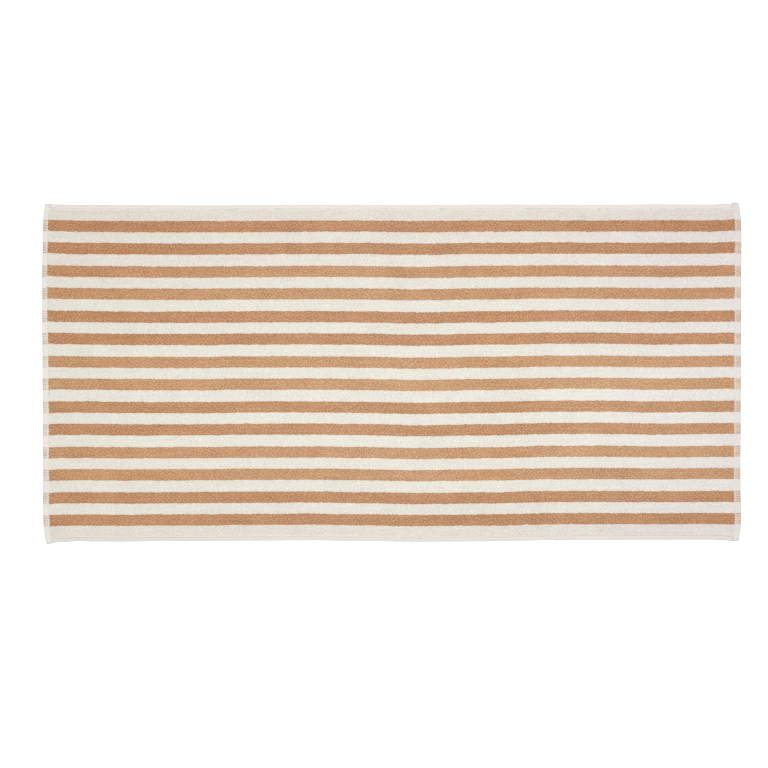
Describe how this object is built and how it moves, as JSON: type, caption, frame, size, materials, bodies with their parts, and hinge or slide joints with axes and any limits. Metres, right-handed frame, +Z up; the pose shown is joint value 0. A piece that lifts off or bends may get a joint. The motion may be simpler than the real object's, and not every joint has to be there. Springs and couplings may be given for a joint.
{
  "type": "bath towel",
  "caption": "Rectangular terry bath towel lying flat, cream with lengthwise tan stripes set in pairs, narrow turned hems along its sides and wider flat-woven hems at its ends.",
  "frame": {"origin": "middle of the towel's outline, on the surface it lies on", "axes": "+X along the length, +Y across it towards the back edge, +Z up out of the face"},
  "size_m": [1.4014, 0.6836, 0.0061],
  "materials": {
    "cream_terry": "matt cotton terry, cream ground with lengthwise tan stripes"
  },
  "bodies": {
    "root": {"towel": "cream_terry"}
  },
  "joints": []
}
